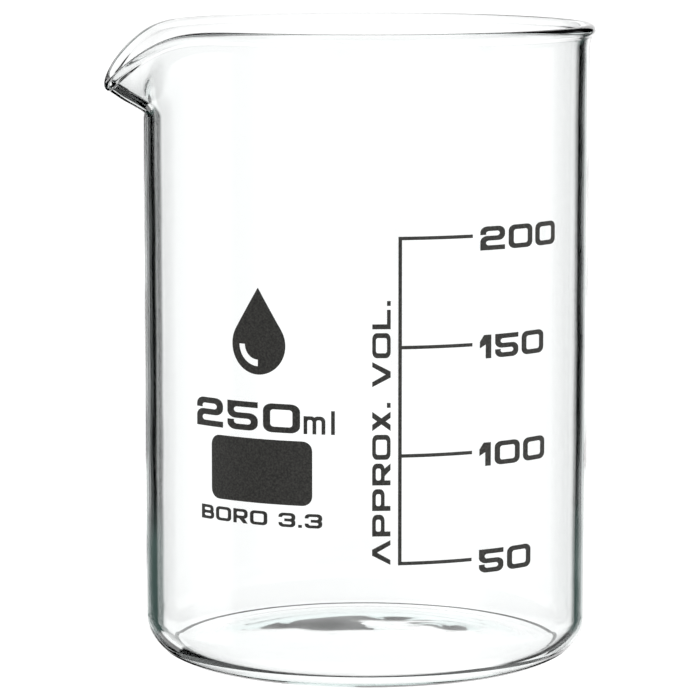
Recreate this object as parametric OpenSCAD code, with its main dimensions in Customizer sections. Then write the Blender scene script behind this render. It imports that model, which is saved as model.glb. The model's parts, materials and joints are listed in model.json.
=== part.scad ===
// Low-form laboratory beaker with a pouring spout and a fired enamel scale.
// Millimetres. The origin is the centre of the foot, the beaker's axis is +Z, and it stands
// on Z = 0. The printed face looks along -Y, and the spout points a little in front of -X.

/* [Glass] */
// Outside diameter of the straight wall
outer_d = 67; // [64:0.5:72]
// Height from the bench to the top of the rim
height = 95.5; // [92:0.5:100]
// Thickness of the wall
wall = 1.65; // [1.3:0.05:1.9]
// Thickness of the base, outside its push-up
base_thick = 1.65; // [1.5:0.05:1.9]
// Outside radius of the rounded heel
heel_r = 6.25; // [5:0.25:8]
// Height that the centre of the underside is pushed up
punt_h = 2.2; // [1.6:0.1:2.4]
// Height that the centre of the floor stands above its edge
floor_rise = 1.9; // [1.4:0.1:2.2]
// Radius of the flat foot's inner edge, where the push-up starts
punt_r = 26; // [20:0.5:27]

/* [Rim] */
// Radius of the outward curve under the rim, on the outside
flare_r = 6; // [4:0.5:8]
// Angle that the wall leans out below the rim
flare_tilt = 27; // [15:1:32]
// Radius of the fire-polished bead along the rim
bead_r = 0.95; // [0.95:0.05:1.2]

/* [Spout] */
// Direction of the spout, turned counter-clockwise from +X
spout_angle = 189.9; // [180:0.1:200]
// How far the lip of the spout reaches out
spout_reach = 5.1; // [3:0.1:6]
// How far the lip of the spout hangs below the rim
spout_drop = 8; // [5:0.25:9]
// Height of the wall where the spout starts
spout_root = 82.3; // [81:0.1:84]
// Half-angle of the spout's outward bulge at the lip
spout_spread = 18; // [14:0.5:20]

/* [Scale] */
// Volume between two graduation lines, in millilitres
graduation_ml = 50; // [50:5:55]
// Height of the printed lines above the level of the volume that they stand for
print_lift = 1.15; // [0:0.05:2]
// Thickness of the fired enamel
enamel = 0.08; // [0.05:0.01:0.15]
// Width of the scale's lines
line_w = 0.5; // [0.4:0.05:0.7]
// Place of the scale's upright line, as an arc to the right of the front
ladder_arc = 4.75; // [4:0.25:6]
// Length of a graduation line
tick_len = 11; // [8:0.5:11.5]
// Height of the scale's numerals
numeral_h = 3.43; // [2.5:0.01:4]

/* [Labels] */
// Arc from the front to the middle of the labels on the left
label_arc = -16.3; // [-18:0.1:-15]
// Height of the capacity's numerals
capacity_h = 4.2; // [3.5:0.1:4.5]
// Width of the marking spot, measured round the wall
patch_w = 16.8; // [12:0.2:18]
// Height of the marking spot
patch_h = 9.4; // [7:0.2:9.8]
// Height of the letters that name the glass
type_h = 2.07; // [1.5:0.01:2.2]
// Height of the letters beside the scale
legend_h = 2.64; // [2:0.02:2.8]
// Height of the drop symbol
drop_h = 12.6; // [8:0.2:14]

/* [Hidden] */
$fn = 180;

glass_colour = "#dcebe9";
enamel_colour = "#3b3b38";

outer_r = outer_d / 2;
inner_r = outer_r - wall;
inner_heel_r = heel_r - wall;
cap_w = min(punt_r, outer_r - heel_r);
cap_fn = 1440;
function cap_r(rise) = (cap_w * cap_w + rise * rise) / (2 * rise);

// The rim: the wall's middle line bends out on an arc that ends at the bead's centre
flare_mid_r = flare_r + wall / 2;
flare_z = height - bead_r - flare_mid_r * sin(flare_tilt);
bead_x = outer_r + flare_r - flare_mid_r * cos(flare_tilt);
bead_z = height - bead_r;

// The band of wall that the spout is pulled from
band_z = 80;
band_half = 60;
band_lap = 2;
band_columns = 50;
band_rows = 9;
band_inset = 0.012;
flare_rows = 4;
bead_steps = 11;
straight_len = flare_z - band_z + band_lap;
flare_len = flare_mid_r * flare_tilt * PI / 180;
spout_drop_spread = 16.8;
spout_drop_power = 1.7;
spout_root_width = 0.5;

// Heights of the graduation lines, from the volume that the wall holds below them. The print
// is approximate, and its lines stand a little high.
heel_loss = (1 - PI / 4) * pow(inner_heel_r, 2) * 2 * PI * (inner_r - 0.22 * inner_heel_r);
cap_loss = PI * floor_rise * (3 * cap_w * cap_w + floor_rise * floor_rise) / 6;
bore_area = PI * inner_r * inner_r;
function fill_z(ml) = base_thick + (ml * 1000 + heel_loss + cap_loss) / bore_area;
function graduation_z(i) = fill_z(i * graduation_ml) + print_lift;

// Letter shapes, as shares of the letter's height
pen_share = [0.27, 0.2];
letter_gap = 0.21;
arc_steps = 6;

numeral_arc = ladder_arc + tick_len + 1.25;
numeral_dip = 0.43;
legend_base_arc = ladder_arc - 1.35;
legend_z = graduation_z(1) - 0.15;
patch_corner = 1.45;
patch_z = 27.65;
type_z = 24.45;
type_w = 21;
capacity_z = 38.15;
capacity_w = 22.9;
unit_h = 2.6;
unit_l_h = 3.44;
unit_pen = 0.54;
unit_m_w = 3.2;
drop_z = 46.4;
drop_steps = 48;

// ---------------------------------------------------------------- glass

// A half section with one rounded lower corner, from the axis out to w
module rounded_half(w, z0, z1, r) {
    translate([0, z0 + r]) square([w, z1 - z0 - r]);
    translate([0, z0]) square([w - r, r]);
    translate([w - r, z0 + r]) circle(r);
}

// Half section of a shallow cap that stands on z: the raised floor, and the hollow under the foot
module cap(z, rise) {
    intersection() {
        translate([0, z + rise - cap_r(rise)]) circle(cap_r(rise), $fn = cap_fn);
        translate([0, z - 1]) square([cap_w + 1, 1 + 2 * rise]);
    }
}

module wall_section() {
    difference() {
        rounded_half(outer_r, 0, flare_z, heel_r);
        difference() {
            rounded_half(inner_r, base_thick, height, inner_heel_r);
            cap(base_thick, floor_rise);
        }
        cap(0, punt_h);
    }
}

module rim_section() {
    translate([outer_r + flare_r, flare_z]) intersection() {
        difference() {
            circle(flare_r + wall);
            circle(flare_r);
        }
        polygon([[0, 0], [-2 * flare_r, 0], [-2 * flare_r, 2 * flare_r * tan(flare_tilt)]]);
    }
    translate([bead_x, bead_z]) circle(bead_r);
}

function smooth(t) = t * t * (3 - 2 * t);
function bell(s, width, power) = exp(-pow(abs(s) / width, power));
function unit(v) = v / norm(v);

// The wall's middle line [radius, height], q millimetres above the bottom of the band
function middle(q) =
    q < straight_len
    ? [outer_r - wall / 2, band_z - band_lap + q]
    : let (a = (q - straight_len) / flare_mid_r * 180 / PI)
      [outer_r - wall / 2 + flare_mid_r * (1 - cos(a)), flare_z + flare_mid_r * sin(a)];

// The same point once the spout is pulled out and down, s degrees away from the spout's middle
function pulled(s, q) =
    let (p = middle(q),
         v = max(0, (p.y - spout_root) / (bead_z - spout_root)),
         spread = spout_spread * (spout_root_width + (1 - spout_root_width) * v),
         r = p.x + spout_reach * smooth(v) * bell(s, spread, 2),
         z = p.y - spout_drop * v * bell(s, spout_drop_spread, spout_drop_power),
         a = spout_angle + s)
    [r * cos(a), r * sin(a), z];

// One closed section of the band: up the outside, over the bead and down the inside
function band_section(s) =
    let (e = 0.05,
         half = wall / 2 - band_inset,
         bead = bead_r - band_inset,
         q_end = straight_len + flare_len,
         q_bead = q_end - sqrt(bead_r * bead_r - wall * wall / 4),
         qs = concat([for (i = [0 : band_rows]) straight_len * i / band_rows],
                     [for (i = [1 : flare_rows])
                      straight_len + (q_bead - straight_len) * i / flare_rows]),
         ups = [for (q = qs) unit(pulled(s, q + e) - pulled(s, q - e))],
         outs = [for (i = [0 : len(qs) - 1])
                 unit(cross(pulled(s + e, qs[i]) - pulled(s - e, qs[i]), ups[i]))],
         top = pulled(s, q_end),
         top_up = unit(top - pulled(s, q_end - e)),
         top_out = unit(cross(pulled(s + e, q_end) - pulled(s - e, q_end), top_up)),
         start = -acos(wall / 2 / bead_r))
    concat(
        [for (i = [0 : len(qs) - 1]) pulled(s, qs[i]) + half * outs[i]],
        [for (i = [1 : bead_steps - 1])
         let (a = start + (180 - 2 * start) * i / bead_steps)
         top + bead * (cos(a) * top_out + sin(a) * top_up)],
        [for (i = [len(qs) - 1 : -1 : 0]) pulled(s, qs[i]) - half * outs[i]]);

module spout_band() {
    reach = band_half + band_lap;
    sections = [for (i = [0 : band_columns]) band_section(-reach + 2 * reach * i / band_columns)];
    n = len(sections[0]);
    points = [for (section = sections) each section];
    sides = [for (i = [0 : band_columns - 1], k = [0 : n - 1])
             let (k2 = (k + 1) % n)
             [i * n + k, i * n + k2, (i + 1) * n + k2, (i + 1) * n + k]];
    near = [for (k = [0 : n / 2 - 2]) [n - 1 - k, n - 2 - k, k + 1, k]];
    far = [for (face = near) [for (k = [3 : -1 : 0]) face[k] + band_columns * n]];
    polyhedron(points, concat(sides, near, far), convexity = 6);
}

// The space that the pulled band takes in the turned vessel
module spout_gap() {
    far = 2 * outer_r;
    translate([0, 0, band_z]) rotate([0, 0, spout_angle]) linear_extrude(height)
        polygon(concat([[0, 0]],
                       [for (a = [-band_half : 20 : band_half]) far * [cos(a), sin(a)]]));
}

module glass_body() {
    color(glass_colour, 0.45) {
        difference() {
            rotate_extrude() {
                wall_section();
                rim_section();
            }
            spout_gap();
        }
        spout_band();
    }
}

// ---------------------------------------------------------------- letters

function corner(x, y, r, a) =
    [for (i = [0 : arc_steps]) [x + r.x * cos(a + 90 * i / arc_steps),
                                y + r.y * sin(a + 90 * i / arc_steps)]];

module round_box(w, h, r) {
    polygon(concat(corner(w - r.x, h - r.y, r, 0), corner(r.x, h - r.y, r, 90),
                   corner(r.x, r.y, r, 180), corner(w - r.x, r.y, r, 270)));
}

// The ring of a nought or a letter O
module ring(w, h, pen) {
    difference() {
        round_box(w, h, 1.25 * pen);
        translate(pen) round_box(w - 2 * pen.x, h - 2 * pen.y, 0.5 * pen);
    }
}

module cut_to(x, y, w, h) {
    intersection() {
        children();
        translate([x, y]) square([w, h]);
    }
}

module two(w, h, pen) {
    mid = (h - pen.y) / 2;
    hook = 0.15 * h;
    cut_to(w / 2, 0, w / 2, h) translate([0, mid]) ring(w, h - mid, pen);
    cut_to(0, h - pen.y - hook, w / 2, pen.y + hook) translate([0, mid]) ring(w, h - mid, pen);
    cut_to(0, 0, w / 2, h) ring(w, mid + pen.y, pen);
    square([pen.x, mid]);
    square([w, pen.y]);
}

module five(w, h, pen) {
    translate([0, h]) mirror([0, 1]) two(w, h, pen);
}

module three(w, h, pen) {
    mid = (h - pen.y) / 2;
    hook = 0.12 * h;
    for (flip = [0, 1]) translate([0, flip * h]) mirror([0, flip]) {
        cut_to(w / 2, 0, w / 2, h) ring(w, mid + pen.y, pen);
        cut_to(0, 0, w / 2, pen.y + hook) ring(w, mid + pen.y, pen);
    }
    translate([0.35 * w, mid]) square([0.4 * w, pen.y]);
}

module one(w, h, pen) {
    polygon([[w - pen.x, 0], [w, 0], [w, h], [w - 1.3 * pen.x, h], [0, 0.72 * h], [0, 0.45 * h],
             [w - pen.x, 0.6 * h]]);
}

module letter_l(w, h, pen) {
    square([pen.x, h]);
    square([w, pen.y]);
}

module letter_v(w, h, pen) {
    foot = 0.12 * w;
    polygon([[0, h], [w / 2 - foot, 0], [w / 2 + foot, 0], [w, h], [w - pen.x, h],
             [w / 2, 1.35 * pen.y], [pen.x, h]]);
}

module letter_a(w, h, pen) {
    translate([0, h]) mirror([0, 1]) letter_v(w, h, pen);
}

module letter_x(w, h, pen) {
    foot = 1.25 * pen.x;
    neck = h / 2 * foot / (w - foot);
    polygon([[0, 0], [foot, 0], [w / 2, h / 2 - neck], [w - foot, 0], [w, 0],
             [w / 2 + foot / 2, h / 2], [w, h], [w - foot, h], [w / 2, h / 2 + neck],
             [foot, h], [0, h], [w / 2 - foot / 2, h / 2]]);
}

// The ring of a P, an R or a B, with square corners on its left
module square_ring(w, h, pen) {
    ring(w, h, pen);
    square([pen.x, h]);
    square([w / 2, pen.y]);
    translate([0, h - pen.y]) square([w / 2, pen.y]);
}

module letter_p(w, h, pen) {
    bowl = 0.68 * h;
    translate([0, h - bowl]) square_ring(w, bowl, pen);
    square([pen.x, h]);
}

module letter_r(w, h, pen) {
    letter_p(w, h, pen);
    polygon([[w - 1.3 * pen.x, 0], [w, 0], [0.72 * w, 0.4 * h], [0.35 * w, 0.4 * h]]);
}

module letter_b(w, h, pen) {
    mid = (h - pen.y) / 2;
    square_ring(w, mid + pen.y, pen);
    translate([0, mid]) square_ring(0.96 * w, h - mid, pen);
}

// Width of a letter, as a share of its height
function letter_width(c) =
    c == "1" ? 0.56 :
    c == "2" || c == "5" || c == "3" ? 1.25 :
    c == "A" || c == "V" || c == "O" || c == "0" ? 1.37 :
    c == "P" || c == "R" || c == "B" ? 1.2 :
    c == "X" || c == "L" ? 1.06 :
    c == "." ? 0.27 : 0.45;

// Distance from the start of the word t to its letter i, as a share of the height
function letter_x_share(t, i) =
    i == 0 ? 0 : letter_x_share(t, i - 1) + letter_width(t[i - 1]) + letter_gap;

module letter(c, h) {
    w = letter_width(c) * h;
    pen = pen_share * h;
    if (c == "0" || c == "O") ring(w, h, pen);
    if (c == "1") one(w, h, pen);
    if (c == "2") two(w, h, pen);
    if (c == "3") three(w, h, pen);
    if (c == "5") five(w, h, pen);
    if (c == "A") letter_a(w, h, pen);
    if (c == "B") letter_b(w, h, pen);
    if (c == "L") letter_l(w, h, pen);
    if (c == "P") letter_p(w, h, pen);
    if (c == "R") letter_r(w, h, pen);
    if (c == "V") letter_v(w, h, pen);
    if (c == "X") letter_x(w, h, pen);
    if (c == ".") square([w, pen.y]);
}

// ---------------------------------------------------------------- enamel

function arc_angle(arc) = arc / outer_r * 180 / PI - 90;

// Flat width of a shape that covers this arc
function chord(arc) = 2 * outer_r * sin(arc / outer_r * 90 / PI);

// Stands a flat shape against the wall: x runs to the right round it, and y runs up
module against_wall(arc, z) {
    rotate([0, 0, arc_angle(arc)]) translate([outer_r - 1, 0, z])
        rotate([90, 0, 90]) linear_extrude(2) children();
}

// Cuts the upright shapes down to a thin layer on the wall's outside
module fired_on(z0, z1) {
    color(enamel_colour) intersection() {
        difference() {
            translate([0, 0, z0]) cylinder(h = z1 - z0, r = outer_r + enamel);
            translate([0, 0, z0 - 1]) cylinder(h = z1 - z0 + 2, r = outer_r);
        }
        union() children();
    }
}

// A word whose letters each lie flat against their own place on the wall
module word(t, arc, z, h) {
    for (i = [0 : len(t) - 1]) {
        w = letter_width(t[i]) * h;
        if (t[i] != " ")
            against_wall(arc + letter_x_share(t, i) * h + w / 2, z)
                translate([-w / 2, 0]) letter(t[i], h);
    }
}

// The upright line and its graduation lines, as one outline
module scale_ladder() {
    half = line_w / 2;
    mid_arc = ladder_arc + tick_len / 2;
    function flat_x(arc) = chord(2 * (arc - mid_arc)) / 2;
    left = flat_x(ladder_arc - half);
    right = flat_x(ladder_arc + half);
    end = flat_x(ladder_arc + tick_len);
    teeth = [for (i = [1 : 4], corner = [[right, -half], [end, -half], [end, half], [right, half]])
             corner + [0, graduation_z(i)]];
    foot = teeth[1].y;
    top = teeth[14].y;
    fired_on(foot - 1, top + 1) against_wall(mid_arc, 0)
        polygon([[left, foot], each [for (k = [1 : 14]) teeth[k]], [left, top]]);
}

module numeral(t, i) {
    z = graduation_z(i) - numeral_dip - numeral_h / 2;
    fired_on(z - 1, z + numeral_h + 1) word(t, numeral_arc, z, numeral_h);
}

module numeral_50() { numeral("50", 1); }
module numeral_100() { numeral("100", 2); }
module numeral_150() { numeral("150", 3); }
module numeral_200() { numeral("200", 4); }

// Reads upwards, with its foot beside the scale's upright line
module volume_legend() {
    t = "APPROX. VOL.";
    n = len(t) - 1;
    length = (letter_x_share(t, n) + letter_width(t[n])) * legend_h;
    fired_on(legend_z - 1, legend_z + length + 1)
        against_wall(legend_base_arc - legend_h / 2, legend_z)
            for (i = [0 : n])
                translate([legend_h / 2, letter_x_share(t, i) * legend_h])
                    rotate(90) letter(t[i], legend_h);
}

module letter_m(w, h, t) {
    arch = (w + t) / 2;
    round_r = [0.9, 0.9] * t;
    for (x = [0, w - arch]) translate([x, 0]) difference() {
        cut_to(0, 0, arch, h) translate([0, -t]) round_box(arch, h + t, 1.5 * round_r);
        translate([t, -2 * t]) round_box(arch - 2 * t, h + t, 0.6 * round_r);
    }
    square([t, h]);
}

module capacity_mark() {
    left = label_arc - capacity_w / 2;
    digits = "250";
    digits_w = (letter_x_share(digits, 2) + letter_width("0")) * capacity_h;
    m_arc = left + digits_w + unit_pen + unit_m_w / 2;
    fired_on(capacity_z - 1, capacity_z + capacity_h + 1) {
        word(digits, left, capacity_z, capacity_h);
        against_wall(m_arc, capacity_z) translate([-unit_m_w / 2, 0])
            letter_m(unit_m_w, unit_h, unit_pen);
        against_wall(m_arc + unit_m_w / 2 + 0.85, capacity_z) square([unit_pen, unit_l_h]);
    }
}

module writing_patch() {
    w = chord(patch_w);
    fired_on(patch_z - 1, patch_z + patch_h + 1)
        against_wall(label_arc, patch_z) translate([-w / 2, 0])
            round_box(w, patch_h, [patch_corner, patch_corner]);
}

module glass_type_mark() {
    fired_on(type_z - 1, type_z + type_h + 1)
        word("BORO 3.3", label_arc - type_w / 2, type_z, type_h);
}

// A plain drop with a curved gleam left clear in it
module drop_mark() {
    r = drop_h / 2.9;
    tip = drop_h - r;
    side = acos(r / tip);
    fired_on(drop_z - 1, drop_z + drop_h + 1)
        against_wall(label_arc, drop_z) translate([0, r]) difference() {
            polygon([[0, tip], each [for (i = [0 : drop_steps])
                                     let (a = side + (360 - 2 * side) * i / drop_steps)
                                     r * [sin(a), cos(a)]]]);
            intersection() {
                difference() {
                    circle(0.72 * r);
                    circle(0.5 * r);
                }
                rotate(180) square(r);
            }
        }
}

glass_body();
scale_ladder();
numeral_50();
numeral_100();
numeral_150();
numeral_200();
volume_legend();
capacity_mark();
writing_patch();
glass_type_mark();
drop_mark();
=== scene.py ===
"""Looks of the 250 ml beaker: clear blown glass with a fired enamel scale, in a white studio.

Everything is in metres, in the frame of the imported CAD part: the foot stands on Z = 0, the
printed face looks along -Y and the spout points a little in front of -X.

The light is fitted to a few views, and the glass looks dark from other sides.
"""
import json
import math

import bmesh
import bpy
import numpy as np
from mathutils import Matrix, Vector


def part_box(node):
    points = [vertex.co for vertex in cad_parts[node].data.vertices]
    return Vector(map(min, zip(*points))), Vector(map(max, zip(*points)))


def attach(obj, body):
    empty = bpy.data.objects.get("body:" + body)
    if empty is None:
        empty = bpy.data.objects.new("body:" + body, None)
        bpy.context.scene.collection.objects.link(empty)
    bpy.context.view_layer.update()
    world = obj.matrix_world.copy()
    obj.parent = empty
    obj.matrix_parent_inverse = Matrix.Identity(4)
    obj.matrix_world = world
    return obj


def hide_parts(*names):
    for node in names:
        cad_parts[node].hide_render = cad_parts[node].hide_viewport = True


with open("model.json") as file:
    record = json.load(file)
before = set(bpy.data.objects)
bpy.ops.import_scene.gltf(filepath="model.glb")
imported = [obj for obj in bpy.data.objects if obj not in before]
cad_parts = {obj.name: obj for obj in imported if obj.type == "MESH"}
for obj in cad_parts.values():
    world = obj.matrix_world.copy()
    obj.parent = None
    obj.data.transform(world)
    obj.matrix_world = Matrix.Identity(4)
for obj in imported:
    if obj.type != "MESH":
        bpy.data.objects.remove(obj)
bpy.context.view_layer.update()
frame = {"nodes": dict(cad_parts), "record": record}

MM = 0.001

# ---------------------------------------------------------------- sizes of the glass

MOUNTS = {m["name"]: m for m in frame["record"]["mounts"]}
INNER_R = MOUNTS["bore"]["dims"]["r_mm"] * MM
WALL = 1.65 * MM
OUTER_R = INNER_R + WALL
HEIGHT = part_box("glass_body")[1].z

# The heel is the round corner between the wall and the base
HEEL_R = 6.25 * MM
INNER_HEEL_R = HEEL_R - WALL

# The base is as thick as the wall. Inside PUNT_R it is pushed up into a shallow dome, by PUNT_H
# on the underside and by FLOOR_RISE on the floor.
BASE_THICK = WALL
PUNT_R = 26 * MM
PUNT_H = 2.2 * MM
FLOOR_RISE = 1.9 * MM

# Under the rim the wall leans out on an arc and ends in a fire-polished bead. The bead is a hair
# smaller than the CAD's 0.95 mm, so that this smoother skin keeps to the CAD's box.
FLARE_R = 6 * MM
FLARE_TILT = math.radians(27)
BEAD_R = 0.946 * MM

# The spout bulges out by SPOUT_REACH and hangs down by SPOUT_DROP at its lip. The bulge begins at
# the height SPOUT_ROOT, where it has SPOUT_ROOT_WIDTH of the half-angle that it has at the lip.
# The drop has a half-angle of its own, and fades out more slowly.
SPOUT_ANGLE = math.radians(189.9)
SPOUT_REACH = 5.1 * MM
SPOUT_DROP = 8 * MM
SPOUT_ROOT = 82.3 * MM
SPOUT_SPREAD = math.radians(18)
SPOUT_ROOT_WIDTH = 0.5
DROP_SPREAD = math.radians(16.8)
DROP_POWER = 1.7

# The wall's middle line bends out above FLARE_Z on an arc that ends at the bead's centre. The
# band that the spout is pulled from starts at BAND_Z.
FLARE_MID_R = FLARE_R + WALL / 2
BEAD_Z = HEIGHT - BEAD_R
FLARE_Z = BEAD_Z - FLARE_MID_R * math.sin(FLARE_TILT)
BAND_Z = 78 * MM
STRAIGHT_LEN = FLARE_Z - BAND_Z
FLARE_LEN = FLARE_MID_R * FLARE_TILT

# Soft hollows in the floor, each [x, y, half length, half width, turn, rise] in mm and degrees.
# A negative rise goes down into the glass.
SWIRL = [
    (-13.0, 2.5, 3.4, 3.0, 5, -0.3),
    (-5.5, 0.5, 5.0, 5.5, -3, -0.7),
    (4.0, 7.0, 5.0, 2.0, 0, -0.35),
    (6.0, 2.4, 4.0, 1.8, 8, -0.3),
    (2.5, -1.5, 4.2, 1.8, -8, -0.25),
    (13.0, 1.0, 2.4, 2.4, -50, -0.35),
]

# Fineness of the glass mesh: points round the beaker, and rows in each stretch of its section
COLUMNS = 640
FLOOR_ROWS = 44
FOOT_ROWS = 10
HEEL_ROWS = 12
WALL_ROWS = 3
BAND_ROWS = 18
FLARE_ROWS = 8
BEAD_ROWS = 13


# ---------------------------------------------------------------- glass mesh

def middle(q):
    """Radius and height of the wall's middle line, q above the bottom of the spout's band."""
    bend = np.clip((q - STRAIGHT_LEN) / FLARE_MID_R, 0, None)
    r = OUTER_R - WALL / 2 + FLARE_MID_R * (1 - np.cos(bend))
    z = BAND_Z + np.minimum(q, STRAIGHT_LEN) + FLARE_MID_R * np.sin(bend)
    return r, z


def bell(s, width, power):
    """1 in the middle of the spout, falling off to 0 on both sides of it."""
    return np.exp(-(np.abs(s) / width) ** power)


def pulled(s, q):
    """The middle line's points once the spout is pulled, s radians from the spout's middle."""
    r, z = middle(q)
    v = np.clip((z - SPOUT_ROOT) / (BEAD_Z - SPOUT_ROOT), 0, None)
    spread = SPOUT_SPREAD * (SPOUT_ROOT_WIDTH + (1 - SPOUT_ROOT_WIDTH) * v)
    r = r + SPOUT_REACH * v * v * (3 - 2 * v) * bell(s, spread, 2)
    z = z - SPOUT_DROP * v * bell(s, DROP_SPREAD, DROP_POWER)
    a = SPOUT_ANGLE + s
    return np.stack([r * np.cos(a), r * np.sin(a), z], -1)


def unit(v):
    """The same vectors with a length of 1."""
    return v / np.linalg.norm(v, axis=-1, keepdims=True)


def along_and_out(s, q):
    """Unit vectors up the wall and out of it, at each point of the middle line."""
    step_q, step_s = 0.02 * MM, math.radians(0.05)
    up = unit(pulled(s, q + step_q) - pulled(s, q - step_q))
    out = unit(np.cross(pulled(s + step_s, q) - pulled(s - step_s, q), up))
    return up, out


def band_rows(s):
    """Rows of points up the outside of the pulled band, over the bead and down the inside."""
    q_end = STRAIGHT_LEN + FLARE_LEN
    q_bead = q_end - math.sqrt(BEAD_R ** 2 - WALL ** 2 / 4)
    qs = np.concatenate([np.linspace(0, STRAIGHT_LEN, BAND_ROWS, endpoint=False),
                         np.linspace(STRAIGHT_LEN, q_bead, FLARE_ROWS)])
    outside, inside = [], []
    for q in qs:
        _, out = along_and_out(s, q)
        outside.append(pulled(s, q) + WALL / 2 * out)
        inside.append(pulled(s, q) - WALL / 2 * out)
    up, out = along_and_out(s, q_end)
    start = -math.acos(WALL / 2 / BEAD_R)
    turn = math.pi - 2 * start
    bead = []
    for i in range(1, BEAD_ROWS):
        a = start + turn * i / BEAD_ROWS
        bead.append(pulled(s, q_end) + BEAD_R * (math.cos(a) * out + math.sin(a) * up))
    return outside + bead + inside[::-1]


def dome(r, rise):
    """Height at radius r of a shallow spherical cap that rises in the middle of the base."""
    dome_r = (PUNT_R ** 2 + rise ** 2) / (2 * rise)
    return math.sqrt(dome_r ** 2 - r ** 2) - (dome_r - rise)


def half_section(radius, z_base, rise, heel, dome_rows):
    """Points [r, z] of a turned surface, from beside the axis to just below the spout's band."""
    points = []
    for i in range(1, dome_rows + 1):
        r = PUNT_R * i / dome_rows
        points.append((r, z_base + dome(r, rise)))
    for i in range(HEEL_ROWS + 1):
        a = math.pi / 2 * i / HEEL_ROWS
        points.append((radius - heel + heel * math.sin(a), z_base + heel * (1 - math.cos(a))))
    z_heel = z_base + heel
    for i in range(1, WALL_ROWS):
        points.append((radius, z_heel + (BAND_Z - z_heel) * i / WALL_ROWS))
    return points


def turned_rows(section, s):
    """A row of points round the beaker for each point of a half section."""
    a = SPOUT_ANGLE + s
    return [np.stack([r * np.cos(a), r * np.sin(a), np.full_like(a, z)], -1)
            for r, z in section]


def swirl(x, y):
    """The floor's soft waves, left where the blown base was cut off."""
    z = np.zeros_like(x)
    for x0, y0, half_length, half_width, turn, rise in SWIRL:
        c, s = math.cos(math.radians(turn)), math.sin(math.radians(turn))
        dx, dy = x - x0 * MM, y - y0 * MM
        u = (dx * c + dy * s) / (half_length * MM)
        v = (dy * c - dx * s) / (half_width * MM)
        z += rise * MM * np.exp(-u * u - v * v)
    return z


def new_mesh(name, points, faces):
    """A mesh with these points and faces."""
    mesh = bpy.data.meshes.new(name)
    mesh.from_pydata(points, [], faces)
    return mesh


def glass_mesh():
    """The whole vessel as one closed skin: out over the foot, up, over the rim and back in."""
    s = np.linspace(-math.pi, math.pi, COLUMNS, endpoint=False)
    outside = turned_rows(half_section(OUTER_R, 0, PUNT_H, HEEL_R, FOOT_ROWS), s)
    inside = turned_rows(
        half_section(INNER_R, BASE_THICK, FLOOR_RISE, INNER_HEEL_R, FLOOR_ROWS), s)
    foot_centre = np.array([[0, 0, PUNT_H]])
    floor_centre = np.array([[0, 0, BASE_THICK + FLOOR_RISE]])
    for row in [floor_centre, *inside[:FLOOR_ROWS]]:
        row[:, 2] += swirl(row[:, 0], row[:, 1])
    rows = outside + band_rows(s) + inside[::-1]
    points = np.concatenate([foot_centre, *rows, floor_centre])

    first, top, last = 1, 1 + (len(rows) - 1) * COLUMNS, len(points) - 1
    faces = []
    for j in range(COLUMNS):
        k = (j + 1) % COLUMNS
        faces.append((0, first + k, first + j))
        for low in range(first, top, COLUMNS):
            high = low + COLUMNS
            faces.append((low + j, low + k, high + k, high + j))
        faces.append((top + j, top + k, last))
    mesh = new_mesh("beaker_glass", [tuple(p) for p in points], faces)
    mesh.shade_smooth()
    return mesh


# ---------------------------------------------------------------- materials

# Borosilicate glass, with the faint green-blue that shows in its thick edges
GLASS_IOR = 1.474
GLASS_TINT = (0.62, 0.86, 0.83, 1)
TINT_DENSITY = 20

# Blown glass isn't quite even, and handled glass isn't quite clean: waves in the surface, and
# smudges where the noise rises over SMUDGE_FROM
WAVE_SCALE = 60
WAVE_DEPTH = 0.05 * MM
SMUDGE_SCALE = 45
SMUDGE_FROM, SMUDGE_FULL = 0.62, 0.8
SMUDGE_ROUGHNESS = 0.05

# Fired enamel, its two shades of grain and how far the grain stands out
ENAMEL_DARK = (0.040, 0.040, 0.037, 1)
ENAMEL_LIGHT = (0.120, 0.118, 0.108, 1)
GRAIN_FROM, GRAIN_TO = 0.35, 0.7
ENAMEL_ROUGHNESS = 0.5
GRAIN_SCALE = 3500
GRAIN_DEPTH = 0.02 * MM
GRAIN_STRENGTH = 0.4


def new_material(name):
    """An empty material, and its nodes and links."""
    material = bpy.data.materials.new(name)
    material.use_nodes = True
    nodes, links = material.node_tree.nodes, material.node_tree.links
    nodes.clear()
    return material, nodes, links


def add_node(nodes, kind, values):
    """A node of this kind with its input sockets set, values being {socket: value}."""
    node = nodes.new("ShaderNode" + kind)
    for socket, value in values.items():
        node.inputs[socket].default_value = value
    return node


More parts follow.
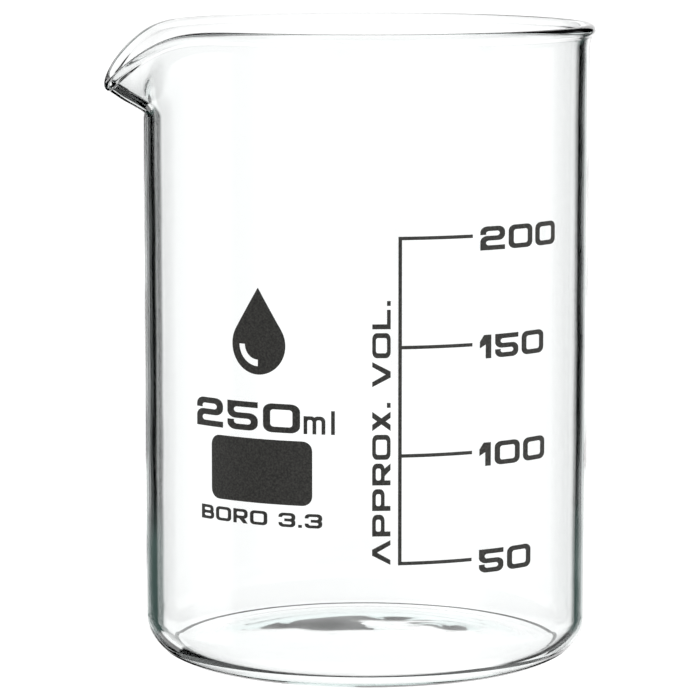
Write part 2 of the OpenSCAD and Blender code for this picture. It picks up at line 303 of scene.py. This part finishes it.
def glass_material():
    """Clear borosilicate: a faint green-blue body tint, hardly visible waves and smudges."""
    material, nodes, links = new_material("borosilicate_glass")
    shader = add_node(nodes, "BsdfPrincipled", {
        "Base Color": (1, 1, 1, 1), "IOR": GLASS_IOR, "Transmission Weight": 1})
    tint = add_node(nodes, "VolumeAbsorption", {"Color": GLASS_TINT, "Density": TINT_DENSITY})
    waves = add_node(nodes, "TexNoise", {"Scale": WAVE_SCALE, "Detail": 1})
    bump = add_node(nodes, "Bump", {"Strength": 1, "Distance": WAVE_DEPTH})
    smudges = add_node(nodes, "TexNoise", {"Scale": SMUDGE_SCALE, "Detail": 4})
    haze = add_node(nodes, "MapRange", {
        "From Min": SMUDGE_FROM, "From Max": SMUDGE_FULL, "To Max": SMUDGE_ROUGHNESS})
    place = add_node(nodes, "TexCoord", {})
    out = add_node(nodes, "OutputMaterial", {})
    links.new(place.outputs["Object"], waves.inputs["Vector"])
    links.new(waves.outputs["Fac"], bump.inputs["Height"])
    links.new(bump.outputs["Normal"], shader.inputs["Normal"])
    links.new(place.outputs["Object"], smudges.inputs["Vector"])
    links.new(smudges.outputs["Fac"], haze.inputs["Value"])
    links.new(haze.outputs["Result"], shader.inputs["Roughness"])
    links.new(shader.outputs["BSDF"], out.inputs["Surface"])
    links.new(tint.outputs["Volume"], out.inputs["Volume"])
    return material


def enamel_material():
    """Dark grey ceramic enamel, fired on: matt, grainy and a little uneven."""
    material, nodes, links = new_material("fired_enamel")
    shader = add_node(nodes, "BsdfPrincipled", {"Roughness": ENAMEL_ROUGHNESS})
    grain = add_node(nodes, "TexNoise", {"Scale": GRAIN_SCALE, "Detail": 3})
    tone = add_node(nodes, "ValToRGB", {})
    set_ramp(tone.color_ramp, [(GRAIN_FROM, ENAMEL_DARK), (GRAIN_TO, ENAMEL_LIGHT)])
    bump = add_node(nodes, "Bump", {"Strength": GRAIN_STRENGTH, "Distance": GRAIN_DEPTH})
    place = add_node(nodes, "TexCoord", {})
    out = add_node(nodes, "OutputMaterial", {})
    links.new(place.outputs["Object"], grain.inputs["Vector"])
    links.new(grain.outputs["Fac"], tone.inputs["Fac"])
    links.new(tone.outputs["Color"], shader.inputs["Base Color"])
    links.new(grain.outputs["Fac"], bump.inputs["Height"])
    links.new(bump.outputs["Normal"], shader.inputs["Normal"])
    links.new(shader.outputs["BSDF"], out.inputs["Surface"])
    return material


def emission_material(name, strength):
    """A plain white light of this strength, or black at a strength of 0."""
    material, nodes, links = new_material(name)
    glow = add_node(nodes, "Emission", {"Color": (1, 1, 1, 1), "Strength": strength})
    out = add_node(nodes, "OutputMaterial", {})
    links.new(glow.outputs["Emission"], out.inputs["Surface"])
    return material


def set_ramp(ramp, stops):
    """Gives a colour ramp its stops, each [position, grey or colour]."""
    while len(ramp.elements) > 1:
        ramp.elements.remove(ramp.elements[-1])
    for i, (position, shade) in enumerate(stops):
        stop = ramp.elements[0] if i == 0 else ramp.elements.new(position)
        stop.position = position
        stop.color = shade if isinstance(shade, tuple) else (shade, shade, shade, 1)


# ---------------------------------------------------------------- the beaker

def add_glass():
    """The vessel, in place of the CAD's faceted one."""
    glass = bpy.data.objects.new("beaker_glass", glass_mesh())
    bpy.context.scene.collection.objects.link(glass)
    glass.data.materials.append(glass_material())
    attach(glass, "root")
    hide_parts("glass_body")


def print_enamel():
    """The CAD's own deposits stay, with a better material."""
    enamel = enamel_material()
    for name, node in frame["nodes"].items():
        if name != "glass_body":
            node.data.materials.clear()
            node.data.materials.append(enamel)


# ---------------------------------------------------------------- studio

# Brightness of the floor, the backdrop and the lit panels, over 1 so that clear glass before them
# still shows white. TEAL is a dark green-blue for the edges of the base to pick up.
WHITE = 1.12
BRIGHT = 1.18
TEAL = (0.05, 0.08, 0.073, 1)

# The floor and the backdrop that the camera sees
FLOOR_R = 6.0
BACKDROP_R = 8.0

# What the glass sees under its foot: a white disc with a black ring round it. The ring is a
# painted contact shadow, hidden from the camera, and makes the dark line along the front of the
# base, where the inner heel looks steeply down.
TABLE_R = 29.65 * MM
SHADE_R = 30.7 * MM
TABLE_GAP = 0.02 * MM
ROUND_STEPS = 96

# Light around the beaker, as [azimuth, brightness], in rings one above the other. The azimuth is
# in degrees anticlockwise from -X as seen from above, so the camera is at 90. The panels are set
# for a few views: a white one stands straight behind the beaker in the main view and in
# the views turned by 45, 90 and 225 degrees, at 270, 315, 0 and 135, with darker gaps beside it.
# From other sides the glass looks grey or dark green. The room is dark overhead, and white below
# but for a gap on the left behind the beaker. LOW_FRONT, RIGHT_SIDE and LEFT_SIDE are shared by
# two rings each.
NADIR = [(0, WHITE), (286, WHITE), (292, 0.1), (345, 0.1), (355, WHITE)]
LOW_FRONT = [
    (0, 0.03), (100, 0.05), (114, 0.2), (124, WHITE), (146, WHITE), (158, 0.2), (200, 0.3),
    (226, 0.4), (230, 0),
]
STEEP_RING = LOW_FRONT + [(238, 0), (240, WHITE), (286, WHITE), (288, 0), (340, 0), (345, 0.03)]
LOW_RING = LOW_FRONT + [
    (245.5, 0), (247, WHITE), (281, WHITE), (282, 0), (302, 0), (304, WHITE), (327, WHITE),
    (329, 0.03),
]
RIGHT_SIDE = [(124, WHITE), (146, WHITE), (158, 0.4), (170, 0.4), (190, 0.7), (226, 0.7)]
LEFT_SIDE = [(318, 0.7), (345, 0.7), (349, WHITE)]
FOOT_RING = [
    (0, WHITE), (11, WHITE), (17, 0.1), (60, 0.1), (85, 0.2), (104, 0.4), *RIGHT_SIDE,
    (232, TEAL), (248.5, TEAL), (249.5, BRIGHT), (284.3, WHITE), (285, TEAL), (316, TEAL),
    *LEFT_SIDE,
]
MIDDLE_RING = [
    (0, WHITE), (11, WHITE), (17, 0.1), (30, 0.15), (45, 0.6), (60, 0.9), (85, 0.8), (104, 0.5),
    *RIGHT_SIDE, (232, 0), (248.5, 0), (249.5, BRIGHT), (284.3, WHITE), (285, 0), (290.5, 0),
    (291, 0.5), (292.3, 0.5), (292.8, 0), (316, 0), *LEFT_SIDE,
]
HIGH_RING = [(0, 0.03), (250, 0.03), (253, WHITE), (284, WHITE), (298, 0.03)]
ZENITH = [(0, 0.03)]

# Each ring's place, as [lower edge in degrees above the horizon, depth of the soft edge, stops]
RINGS = [
    (-90, 0, NADIR), (-50, 8, STEEP_RING), (-31, 1, LOW_RING), (-18, 2, FOOT_RING),
    (-10.3, 0.8, MIDDLE_RING), (18, 4, HIGH_RING), (55, 10, ZENITH),
]


def circle(radius, z):
    """Points round the Z axis."""
    turns = [2 * math.pi * i / ROUND_STEPS for i in range(ROUND_STEPS)]
    return [(radius * math.cos(a), radius * math.sin(a), z) for a in turns]


def disc_mesh(name, radius, z):
    """A flat disc, as one face."""
    return new_mesh(name, circle(radius, z), [tuple(range(ROUND_STEPS))])


def ring_mesh(name, inner_r, outer_r, z):
    """A flat ring of four-sided faces."""
    faces = []
    for i in range(ROUND_STEPS):
        k = (i + 1) % ROUND_STEPS
        faces.append((i, ROUND_STEPS + i, ROUND_STEPS + k, k))
    return new_mesh(name, circle(inner_r, z) + circle(outer_r, z), faces)


def backdrop_mesh():
    """A ball round the whole scene."""
    work = bmesh.new()
    bmesh.ops.create_uvsphere(work, u_segments=32, v_segments=16, radius=BACKDROP_R)
    mesh = bpy.data.meshes.new("backdrop")
    work.to_mesh(mesh)
    work.free()
    return mesh


def add_stage_piece(mesh, material):
    """An object of the studio, which isn't part of the beaker."""
    mesh.materials.append(material)
    piece = bpy.data.objects.new(mesh.name, mesh)
    bpy.context.scene.collection.objects.link(piece)
    return piece


def seen_by_camera_only(piece):
    """Hides a piece of the studio from the glass and the enamel."""
    piece.visible_diffuse = False
    piece.visible_glossy = False
    piece.visible_transmission = False
    piece.visible_volume_scatter = False
    piece.visible_shadow = False


def add_floor():
    """Camera's floor and backdrop, a table top, and a painted shadow ring that only the glass
    sees.
    """
    white = emission_material("studio_white", WHITE)
    # Black for the painted contact shadow under the foot
    black = emission_material("painted_foot_shadow", 0)
    floor = add_stage_piece(disc_mesh("floor", FLOOR_R, -2 * TABLE_GAP), white)
    backdrop = add_stage_piece(backdrop_mesh(), white)
    seen_by_camera_only(floor)
    seen_by_camera_only(backdrop)
    add_stage_piece(disc_mesh("table_top", TABLE_R, -TABLE_GAP), white)
    # Painted contact shadow: a black ring under the foot, seen through the glass but not by the
    # camera
    shade = add_stage_piece(ring_mesh("painted_foot_shadow", TABLE_R, SHADE_R, -TABLE_GAP), black)
    shade.visible_camera = False


def add_surroundings():
    """The rings of light round the beaker, blended where one ends and the next begins."""
    world = bpy.data.worlds.new("studio")
    bpy.context.scene.world = world
    world.use_nodes = True
    nodes, links = world.node_tree.nodes, world.node_tree.links
    nodes.clear()
    place = add_node(nodes, "TexCoord", {})
    split = add_node(nodes, "SeparateXYZ", {})
    angle = add_node(nodes, "Math", {})
    angle.operation = "ARCTAN2"
    turn = add_node(nodes, "MapRange", {"From Min": -math.pi, "From Max": math.pi})
    links.new(place.outputs["Generated"], split.inputs["Vector"])
    links.new(split.outputs["Y"], angle.inputs[0])
    links.new(split.outputs["X"], angle.inputs[1])
    links.new(angle.outputs["Value"], turn.inputs["Value"])
    colour = None
    for lowest, soft, stops in RINGS:
        ring = add_node(nodes, "ValToRGB", {})
        set_ramp(ring.color_ramp, [(azimuth / 360, shade) for azimuth, shade in stops])
        links.new(turn.outputs["Result"], ring.inputs["Fac"])
        if colour is None:
            colour = ring.outputs["Color"]
            continue
        above = add_node(nodes, "MapRange", {
            "From Min": math.sin(math.radians(lowest - soft / 2)),
            "From Max": math.sin(math.radians(lowest + soft / 2))})
        blend = add_node(nodes, "Mix", {})
        blend.data_type = "RGBA"
        links.new(split.outputs["Z"], above.inputs["Value"])
        links.new(above.outputs["Result"], blend.inputs["Factor"])
        links.new(colour, blend.inputs["A"])
        links.new(ring.outputs["Color"], blend.inputs["B"])
        colour = blend.outputs["Result"]
    background = add_node(nodes, "Background", {})
    out = add_node(nodes, "OutputWorld", {})
    links.new(colour, background.inputs["Color"])
    links.new(background.outputs["Background"], out.inputs["Surface"])


# ---------------------------------------------------------------- camera

# The photo's camera: 0.6 m in front of the beaker and a little over its rim, looking down
CAMERA_PLACE = Vector((-2.42 * MM, -596.0 * MM, 124.88 * MM))
CAMERA_DOWN = math.radians(7.534)
CAMERA_LENS = 204.1
CAMERA_SENSOR = 36
CAMERA_NEAR, CAMERA_FAR = 0.01, 50


def add_camera():
    """The main view's camera."""
    data = bpy.data.cameras.new("camera")
    data.lens = CAMERA_LENS
    data.sensor_width = CAMERA_SENSOR
    data.clip_start, data.clip_end = CAMERA_NEAR, CAMERA_FAR
    camera = bpy.data.objects.new("camera", data)
    camera.location = CAMERA_PLACE
    camera.rotation_euler = (math.pi / 2 - CAMERA_DOWN, 0, 0)
    bpy.context.scene.collection.objects.link(camera)
    bpy.context.scene.camera = camera


def set_light_paths():
    """Enough bounces for the light in the rim and the heel, and colours shown as they are."""
    scene = bpy.context.scene
    scene.view_settings.view_transform = "Standard"
    scene.cycles.max_bounces = 24
    scene.cycles.transmission_bounces = 24
    scene.cycles.glossy_bounces = 12
    scene.cycles.transparent_max_bounces = 12


add_glass()
print_enamel()
add_floor()
add_surroundings()
add_camera()
set_light_paths()
